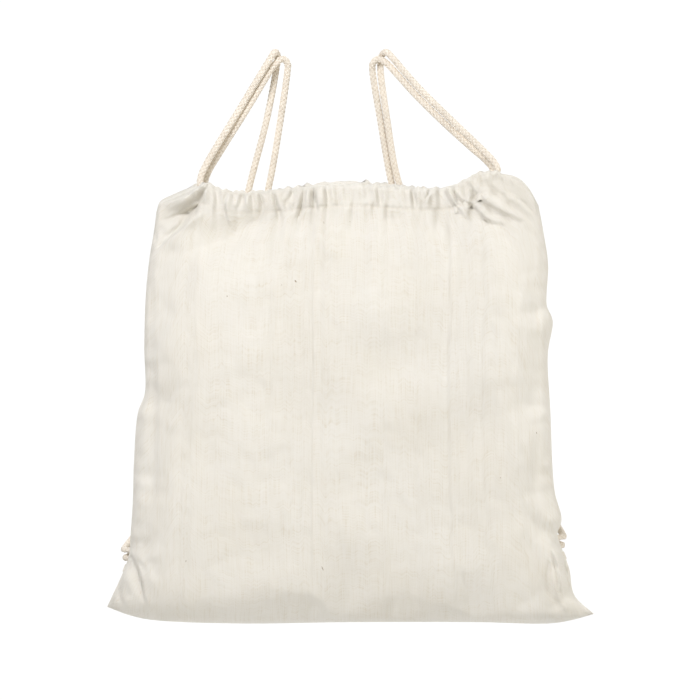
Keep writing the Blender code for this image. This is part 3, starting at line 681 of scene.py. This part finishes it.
def detail(flat, across, down, folds, seed):
    """Folds, gathers and unevenness of a panel: how far each place stands out."""
    drop = flat[:1, :, 1] - flat[:, :, 1]
    along = flat[..., 0]
    below = drop - CASING_HEIGHT  # distance below the casing's stitches
    mouth = ease(across, 0.05, 0.14) * ease(1 - across, 0.05, 0.14)
    to_side = np.minimum(across, 1 - across)[None] * 0.32
    to_foot = (1 - down)[:, None] * 0.33
    near_mouth = 1 + FOLD_EXTRA * np.exp(-np.clip(drop - 0.01, 0, 1) / 0.05)
    out = near_mouth * sum(crease(flat, line, width, height, kind) for line, width, height, kind in folds)
    # puckers on both sides of the stitches
    beside = np.where(below > 0, np.exp(-np.clip(below, 0, 1) / 0.014), np.exp(below / 0.007))
    out = out + 0.00060 * waves(along, seed, 0.005, 0.011) * beside * mouth
    # gathers that hang below the stitches
    hanging = np.exp(-np.clip(below, 0, 1) / 0.035) * ease(below, -0.010, 0.010)
    out = out + 0.0015 * waves(along + 0.2 * drop, seed + 1, 0.012, 0.030) * mouth * hanging
    # gathers of the casing itself
    in_casing = ease(-below, -0.004, 0.008)
    out = out + 0.0015 * waves(along - 0.15 * drop, seed + 2, 0.006, 0.020) * mouth * in_casing
    # the groove that the stitches pull in
    out = out - 0.0010 * np.exp(-((below / 0.0010) ** 2)) * mouth
    # puckers along the side seams and the bottom seam
    by_side = np.exp(-to_side / 0.010) * ease(to_side, 0.0005, 0.004)
    out = out + 0.0011 * waves(flat[..., 1], seed + 3, 0.008, 0.022) * by_side
    by_foot = np.exp(-to_foot / 0.012) * ease(to_foot, 0.0005, 0.004)
    out = out + 0.0005 * waves(along, seed + 4, 0.009, 0.026) * by_foot
    # wide and narrow unevenness of the filling
    middle = ease(to_side, 0.0, 0.03) * ease(to_foot, 0.0, 0.03) * ease(below, 0.0, 0.03)
    out = out + 0.0019 * billow(flat, seed + 5, 0.045, 0.16) * middle
    off_seams = ease(to_side, 0.0, 0.006) * ease(to_foot, 0.0, 0.006)
    return out + 0.00022 * billow(flat, seed + 6, 0.010, 0.030) * off_seams


def cloth_rows():
    """Fractions down the panel: close rows in the casing and below its stitches, then even ones."""
    foot = CASING_HEIGHT / PANEL_HEIGHT
    return np.concatenate([
        np.linspace(0, foot, FOOT_ROW + 1)[:-1], np.linspace(foot, 0.20, 36 // COARSE)[:-1],
        np.linspace(0.20, 1, 138 // COARSE),
    ])


def panel_surface(side, folds, seed, columns, lift=0.0):
    """The panel's outer face as a grid of points, from the mouth down. side is -1 front, 1 back."""
    across, down = np.linspace(0, 1, columns), cloth_rows()
    flat = laid_out(across, down)
    depth = swell(flat, across, down)
    depth = np.maximum(depth + detail(flat, across, down, folds, seed), np.minimum(depth, 0.0003))
    drop = flat[:1, :, 1] - flat[:, :, 1]
    # the casing never sinks into its cords
    ends = np.clip(across * (1 - across) / 0.03, 0, 1)[None]
    in_casing = ease(drop, 0.0, 0.004) * ease(CASING_HEIGHT + 0.002 - drop, 0.0, 0.003)
    cover = CORD_COVER * ends * in_casing
    depth = np.maximum(depth, cover) + 0.0004 * np.exp(-np.abs(depth - cover) / 0.0004)
    # a gap between the lips of the mouth, and none at the seams
    lips = (ease(across, 0.02, 0.08) * ease(1 - across, 0.02, 0.08))[None]
    lips = lips * np.exp(-np.clip(drop, 0, 1) / 0.01)
    points = np.stack([flat[..., 0], side * (depth - 0.00015 + 0.00045 * lips), flat[..., 1]], axis=-1)
    # the mouth's edge is uneven, and the back's stands higher in the middle
    mouth = (ease(across, 0.08, 0.16) * ease(1 - across, 0.08, 0.16))[None] * np.exp(-drop / 0.007)
    points[..., 2] += mouth * 0.00065 * waves(flat[..., 0], seed + 7, 0.006, 0.017)
    middle = (ease(across, 0.25, 0.45) * ease(1 - across, 0.25, 0.45))[None] * np.exp(-drop / 0.012)
    points[..., 2] += lift * middle
    straighten_middle(points, points[..., 0], across)
    return points


def straighten_middle(points, widths, across):
    """Take the middle column's widths out of x, fading to the sides, so that it lies at x = 0."""
    points[..., 0] -= widths[:, points.shape[1] // 2][:, None] * (1 - (2 * across[None] - 1) ** 2) ** 2


def spline_weights(count, places):
    """Rows of smooth weights that read a grid line of count values at fractional places."""
    table = np.zeros((len(places), count))
    for row, place in enumerate(places):
        first = int(math.floor(place))
        t = place - first
        weights = (
            (1 - t) ** 3 / 6, (3 * t**3 - 6 * t**2 + 4) / 6, (-3 * t**3 + 3 * t**2 + 3 * t + 1) / 6,
            t**3 / 6,
        )
        for step, weight in zip((-1, 0, 1, 2), weights):
            table[row, min(max(first + step, 0), count - 1)] += weight
    return table


def settle_cloth(front, back):
    """Settle the two panels round their filling with a cloth simulation, and move both by the result."""
    rows, columns = 68, 60  # about 5 mm apart
    held_rows, last_frame = 5, 18
    down, share = cloth_rows(), np.linspace(0, 1, rows)
    down_places = np.interp(share, down, np.arange(len(down)))
    indices = np.arange(rows * columns).reshape(rows, columns)
    behind = indices.copy()
    inside = (rows - 1, columns - 2)  # the back shares the front's seams
    behind[:-1, 1:-1] = rows * columns + np.arange(inside[0] * inside[1]).reshape(inside)
    spots = np.zeros((behind.max() + 1, 3))
    for points, index in ((front, indices), (back, behind)):
        across_places = np.linspace(0, points.shape[1] - 1, columns)
        nearest = points[np.ix_(down_places.round().astype(int), across_places.round().astype(int))]
        spots[index.ravel()] = nearest.reshape(-1, 3)
    quads = []
    for index, order in ((indices, (0, 1, 2, 3)), (behind, (3, 2, 1, 0))):
        corners = (index[:-1, :-1], index[:-1, 1:], index[1:, 1:], index[1:, :-1])
        quads.append(np.stack([corners[k] for k in order], axis=-1).reshape(-1, 4))
    mesh = bpy.data.meshes.new("settling")
    mesh.from_pydata(spots.tolist(), [], np.vstack(quads)[:, ::-1].tolist())
    bag = bpy.data.objects.new("settling", mesh)
    bpy.context.scene.collection.objects.link(bag)
    # the casing is held still, and the seams partly
    held = bag.vertex_groups.new(name="held")
    casing = np.unique(np.concatenate([indices[:held_rows].ravel(), behind[:held_rows].ravel()]))
    held.add(casing.tolist(), 1.0, "REPLACE")
    seams = indices[held_rows:, 0].tolist() + indices[held_rows:, -1].tolist() + indices[-1].tolist()
    held.add(seams, 0.6, "REPLACE")
    cloth = bag.modifiers.new("cloth", "CLOTH")
    setting = cloth.settings
    setting.quality = 6
    setting.mass = 0.12
    setting.bending_stiffness = 0.25
    setting.tension_stiffness = setting.compression_stiffness = 25
    setting.vertex_group_mass = "held"
    setting.pin_stiffness = 1.0
    setting.shrink_min = -0.022
    setting.use_pressure = True
    setting.uniform_pressure_force = 4.0
    setting.effector_weights.gravity = 0.0
    cloth.point_cache.frame_start, cloth.point_cache.frame_end = 1, last_frame
    for frame in range(1, last_frame + 1):
        bpy.context.scene.frame_set(frame)
    moved = bag.evaluated_get(bpy.context.evaluated_depsgraph_get()).to_mesh()
    settled = np.zeros(len(spots) * 3)
    moved.vertices.foreach_get("co", settled)
    shift = settled.reshape(-1, 3) - spots
    bpy.data.objects.remove(bag)
    bpy.context.scene.frame_set(1)
    for points, index in ((front, indices), (back, behind)):
        by_row = spline_weights(rows, np.interp(down, share, np.arange(rows)))
        by_column = spline_weights(columns, np.linspace(0, columns - 1, points.shape[1]))
        wide = np.einsum("ri,ijk,cj->rck", by_row, shift[index], by_column)
        far = np.linalg.norm(wide, axis=-1, keepdims=True)
        wide *= SETTLE_LIMIT * np.tanh(far / SETTLE_LIMIT) / np.maximum(far, 1e-9)
        across = np.linspace(0, 1, points.shape[1])
        free = ease(down, 0.07, 0.13)[:, None] * ease(1 - down, 0.0, 0.04)[:, None]
        free = free * (ease(across, 0.0, 0.05) * ease(1 - across, 0.0, 0.05))[None]
        straighten_middle(wide, wide[..., 0], across)
        points += wide * free[..., None]


def hem_rows(points, side, count=10):
    """The folded-over part of the casing: from its raw edge inside, up and over the mouth's edge."""
    top, foot = points[0], points[FOOT_ROW]
    across = np.linspace(0, 1, len(top))
    within = (ease(across, 0.06, 0.12) * ease(1 - across, 0.06, 0.12))[:, None]
    rows = []
    for share in np.linspace(1, 0, count):
        drop = HEM * share
        stitched = ease(drop, 0.009, CASING_HEIGHT)
        row = top.copy()
        row[:, 1] = side * 0.0013 * (1 - stitched) + (foot[:, 1] - side * 2 * CLOTH) * stitched
        row[:, 2] = top[:, 2] - 0.0016 - drop
        flap = top.copy()
        flap[:, 1] = top[:, 1] * 0.4
        flap[:, 2] = top[:, 2] - 0.0006 - drop * 0.1
        rows.append(row * within + flap * (1 - within))
    return np.array(rows)


def shell(name, points, thickness, material, uv, normals):
    """A sheet of that thickness from a grid of points on its outer face."""
    rows, width = points.shape[:2]
    inner = points - normals * thickness
    count = rows * width
    faces = grid_faces(rows, width)[:, ::-1]
    back = faces[:, ::-1] + count
    index = np.arange(count).reshape(rows, width)
    border = np.concatenate([index[0, :-1], index[:-1, -1], index[-1, :0:-1], index[:0:-1, 0]])
    following = np.roll(border, -1)
    rim = np.stack([border, following, following + count, border + count], axis=-1)
    everything = np.concatenate([faces, back, rim])
    all_points = np.concatenate([points.reshape(-1, 3), inner.reshape(-1, 3)])
    all_uv = np.concatenate([uv.reshape(-1, 2)] * 2)
    obj = mesh_object(name, all_points, everything, material, all_uv)
    all_normals = np.concatenate([normals.reshape(-1, 3), -normals.reshape(-1, 3)])
    obj.data.normals_split_custom_set_from_vertices(all_normals.astype(np.float32))
    return obj


def grid_normals(points, side):
    down, across = np.gradient(points, axis=0), np.gradient(points, axis=1)
    return unit(np.cross(down, across) * -side + 1e-12)


def cloth_uv(points):
    """Cloth coordinates in metres, measured over the surface."""
    rows, columns = points.shape[:2]
    downward = np.cumsum(np.linalg.norm(np.diff(points, axis=0), axis=2), axis=0)
    sideways = np.cumsum(np.linalg.norm(np.diff(points, axis=1), axis=2), axis=1)
    down = np.concatenate([np.zeros((1, columns)), downward])
    across = np.concatenate([np.zeros((rows, 1)), sideways], axis=1)
    middle = points.shape[1] // 2
    return np.stack([across - across[:, middle:middle + 1], -down], axis=-1)


def open_with_lip(piece):
    """A left or right half of the mouth's front, with its placement baked into its points."""
    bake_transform(piece)


def make_cloth(material):
    front = panel_surface(-1, FRONT_FOLDS, 11, FRONT_COLUMNS)
    back = panel_surface(1, BACK_FOLDS, 47, BACK_COLUMNS, lift=0.0026)
    settle_cloth(front, back)
    surfaces = {}
    for side, outer in ((-1, front), (1, back)):
        points = np.concatenate([hem_rows(outer, side), outer])
        surfaces[side] = (points, grid_normals(points, side), cloth_uv(points))
    points, normals, uv = surfaces[1]
    # seen from behind, left and right change places, which turns the faces round
    whole = shell("back_cloth", points[:, ::-1], CLOTH, material, uv[:, ::-1], normals[:, ::-1])
    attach(whole, "bag")
    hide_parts("back_panel", "back_casing")
    points, normals, uv = surfaces[-1]
    middle = points.shape[1] // 2
    halves = (("front_cloth_left", slice(0, middle + 1)), ("front_cloth_right", slice(middle, None)))
    for name, part in halves:
        half = shell(name, points[:, part], CLOTH, material, uv[:, part], normals[:, part])
        open_with_lip(half)
        if name.endswith("left"):
            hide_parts("front_panel", "front_casing")
    return front, back


# ---------------------------------------------------------------- cords inside the bag

# The middle line of the casings (x, z), from the left exit to the right one
CASING_LINE = [
    (-0.1099, -0.1111), (-0.1000, -0.1130), (-0.0900, -0.1152), (-0.0600, -0.1144), (-0.0300, -0.1114),
    (0.0, -0.1096), (0.0300, -0.1112), (0.0600, -0.1129), (0.0780, -0.1114), (0.0900, -0.1060),
    (0.1000, -0.1010), (0.1089, -0.0995),
]


def run_route(side, starts_high):
    """A cord through a casing from left to right, changing from high to low or from low to high."""
    line = smooth_route(CASING_LINE, count=61)
    phase = np.linspace(0, math.pi, len(line))
    sign = 1 if starts_high else -1
    out = CORD_OUT + 0.0012 * np.sin(phase) * sign  # the two cords pass each other at the middle
    height = line[:, 1] + sign * CORD_APART * np.cos(phase)
    return np.stack([line[:, 0], side * out, height], axis=1)


def turn_route(end, outwards):
    """The half circle in which a cord goes round the far side of the mouth, from the front to the back."""
    angles = np.linspace(0, math.pi, 9)[1:-1]
    return [
        (end[0] + outwards * CORD_OUT * math.sin(angle), -CORD_OUT * math.cos(angle), end[2])
        for angle in angles
    ]


def make_casing_cords(material):
    for cord, starts_high in (("left", True), ("right", False)):
        front, back = run_route(-1, starts_high), run_route(1, starts_high)
        middle = len(front) // 2
        for half, part in (("left", front[:middle + 1]), ("right", front[middle:])):
            path = smooth_route(part, step=0.0009)
            piece = braided_cord(f"{cord}_cord_in_front_casing_{half}", path, material, sides=20)
            open_with_lip(piece)
            if half == "left":
                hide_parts(f"{cord}_drawcord_front_run")
        if starts_high:
            route = [*back, *reversed(turn_route(back[-1], 1)), front[-1]]
        else:
            route = [*reversed(back), *reversed(turn_route(back[0], -1)), front[0]]
        path = smooth_route(route, step=0.0009)
        piece = braided_cord(f"{cord}_cord_in_back_casing", path, material, sides=20)
        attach(piece, "bag")
        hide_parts(f"{cord}_drawcord_back_run")


# The knot of each cord's two ends, from the outer strand's end to the inner one's, for the left side
KNOT_ROUTE = [
    (-0.1767, 0.0055, -0.3866), (-0.1742, 0.0030, -0.3868), (-0.1700, 0.0004, -0.3874),
    (-0.1640, -0.0008, -0.3872), (-0.1570, 0.0020, -0.3850), (-0.1510, 0.0062, -0.3872),
    (-0.1500, 0.0040, -0.3935), (-0.1545, -0.0045, -0.3955), (-0.1605, -0.0062, -0.3900),
    (-0.1590, -0.0030, -0.3832), (-0.1525, 0.0000, -0.3822), (-0.1475, -0.0010, -0.3885),
    (-0.1530, 0.0030, -0.3968), (-0.1615, 0.0052, -0.3945), (-0.1680, 0.0030, -0.3934),
    (-0.1732, 0.0042, -0.3934), (-0.1757, 0.0062, -0.3932),
]


def make_knots(material):
    """Each knot starts and ends where its side's two strands end; the right one mirrors the left."""
    outer_end = np.array(STRANDS["right_strap_outer_cord"][1][-1])
    inner_end = STRANDS["right_strap_inner_cord"][1][-1]
    for side in ("left", "right"):
        route = np.array(KNOT_ROUTE)
        if side == "right":
            route = (route - route[0]) * (-1, 1, 1) + outer_end
            route[-1] = inner_end
        path = smooth_route(route, step=0.0007)
        knot = braided_cord(f"{side}_knotted_ends", path, material, sides=24, diameter=KNOTTED_CORD)
        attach(knot, "bag")
        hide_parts(f"{side}_cord_knot")


# ---------------------------------------------------------------- sewing


def thread_bars(name, routes, radius, material, sides=6):
    """Many short pieces of thread as one object, each tapering into the cloth at its two ends."""
    points, faces = [], []
    for route in routes:
        path = smooth_route(route, count=7)
        normals, binormals = frames_along(path)
        first = len(points)
        for i, place in enumerate(path):
            size = radius * math.sqrt(max(1 - (2 * i / (len(path) - 1) - 1) ** 4, 0.04))
            for j in range(sides):
                angle = 2 * math.pi * j / sides
                points.append(place + size * (math.cos(angle) * normals[i] + math.sin(angle) * binormals[i]))
        faces += (grid_faces(len(path), sides, closed=True) + first).tolist()
        last = first + (len(path) - 1) * sides
        faces += [list(range(first + sides - 1, first - 1, -1)), list(range(last, last + sides))]
    return mesh_object(name, np.array(points), faces, material)


def casing_stitches(surface, normals, columns):
    """Lockstitches along the foot of the casing, between two columns of the panel's grid."""
    line, out = surface[FOOT_ROW, columns], normals[FOOT_ROW, columns]
    travelled = np.concatenate([[0], np.cumsum(np.linalg.norm(np.diff(line, axis=0), axis=1))])
    routes = []
    for i in range(int(travelled[-1] / STITCH)):
        spots = (i + np.array([0.10, 0.30, 0.50, 0.70, 0.90])) * STITCH
        place = np.stack([np.interp(spots, travelled, line[:, k]) for k in range(3)], axis=1)
        up = np.stack([np.interp(spots, travelled, out[:, k]) for k in range(3)], axis=1)
        lift = np.array([-0.00018, 0.00008, 0.00014, 0.00008, -0.00018])[:, None]
        routes.append(place + up * lift)
    return routes


def make_stitches(front, back, material):
    """One row of stitches along each casing, which stops short of the side seams."""
    first, last = 0.125, 0.875  # shares of the panel's width
    normals, count = grid_normals(front, -1), front.shape[1]
    low, middle, high = int(count * first), count // 2, int(count * last)
    for half, part in (("left", slice(low, middle + 1)), ("right", slice(middle, high))):
        routes = casing_stitches(front, normals, part)
        piece = thread_bars(f"front_casing_lockstitches_{half}", routes, SEWING_THREAD, material)
        open_with_lip(piece)
        if half == "left":
            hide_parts("front_casing_stitching")
    normals, count = grid_normals(back, 1), back.shape[1]
    routes = casing_stitches(back, normals, slice(int(count * first), int(count * last)))
    piece = thread_bars("back_casing_lockstitches", routes, SEWING_THREAD, material)
    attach(piece, "bag")
    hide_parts("back_casing_stitching")


def make_bartacks(material):
    """Close bars of thread that wrap the edge of each side seam, just below the cords' slit."""
    bars, spacing, below_slit = 11, 0.00052, 0.0092
    reach, half_depth, wrap_depth = 0.0048, 0.0062, 0.0030
    for side, line, slit_height in (("left", LEFT_EDGE, -0.3890), ("right", RIGHT_EDGE, -0.3790)):
        edge = smooth_route(line, count=300)
        inward = 1 if side == "left" else -1
        routes = []
        for i in range(bars):
            height = slit_height - below_slit - spacing * i
            x = np.interp(-height, -edge[:, 1], edge[:, 0])
            end_x = x + inward * (reach + 0.0004 * math.sin(2.3 * i))
            near_x = x + inward * 0.0010
            routes.append([
                (end_x, -half_depth, height), (near_x, -wrap_depth, height),
                (x - inward * 0.0006, 0.0, height + 0.0002),
                (near_x, wrap_depth, height), (end_x, half_depth, height),
            ])
        tack = thread_bars(f"{side}_bartack_threads", routes, BARTACK_THREAD, material)
        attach(tack, "bag")
        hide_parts(f"{side}_bartack")


def make_allowances(material, thread):
    """The overlocked seam allowances inside: two layers of cloth that stand in from each seam."""
    for name, line, part in (
        ("left_side_seam", LEFT_EDGE, slice(16, 250)), ("right_side_seam", RIGHT_EDGE, slice(16, 250)),
        ("bottom_seam", FOOT_LINE, slice(40, 260)),
    ):
        edge = smooth_route(line, count=300)
        inward = unit(MIDDLE - edge)
        along = unit(np.gradient(edge, axis=0))
        square = unit(inward - along * (inward * along).sum(axis=1, keepdims=True))
        edge, square = edge[part], square[part]
        travelled = np.arange(len(edge)) * np.linalg.norm(edge[1] - edge[0])
        near, far = 0.0014, 0.0098  # from the seam to the allowance's two edges
        reach = np.linspace(near, far, 9)
        flat = edge[:, None] + square[:, None] * reach[None, :, None]
        sway = 0.0011 * waves(travelled, 5, 0.012, 0.03)[:, None] * ease(reach, 0.002, far)[None]
        grid = np.stack([flat[..., 0], sway, flat[..., 1]], axis=-1)
        uv = np.stack([travelled[:, None] + 0 * reach, reach + 0 * travelled[:, None]], axis=-1)
        normals = grid_normals(grid, 1)
        strip = shell(f"{name}_allowance", grid, ALLOWANCE_THICKNESS, material, uv, normals)
        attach(strip, "bag")
        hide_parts(name)
        routes = []
        for i in range(2, len(edge) - 3, 2):
            rim, back_in = grid[i, -1], grid[i + 1, 5]
            routes.append([
                back_in + (0, 0.0003, 0), grid[i, -2] + (0, 0.0004, 0), rim,
                grid[i, -2] - (0, 0.0015, 0), back_in - (0, 0.0014, 0),
            ])
        overlock = thread_bars(f"{name}_overlock", routes, OVERLOCK_THREAD, thread, sides=5)
        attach(overlock, "bag")


# ---------------------------------------------------------------- everything


def main():
    make_camera()
    make_world()
    make_lights()
    make_floor()
    canvas = canvas_material("unbleached_canvas")
    inside = canvas_material("canvas_seam_allowance", (0.98, 0.965, 0.94))
    # the last colour of each yarn is painted shade for the grooves, which only the braided cords mark on
    # their points
    braid = yarn_material("braided_cotton", (0.90, 0.84, 0.75), (0.54, 0.42, 0.30))
    thread = yarn_material("cotton_thread", (0.88, 0.84, 0.76), (0.55, 0.45, 0.33))
    make_straps(braid)
    make_casing_cords(braid)
    make_knots(braid)
    front, back = make_cloth(canvas)
    make_stitches(front, back, thread)
    make_bartacks(thread)
    make_allowances(inside, thread)


main()
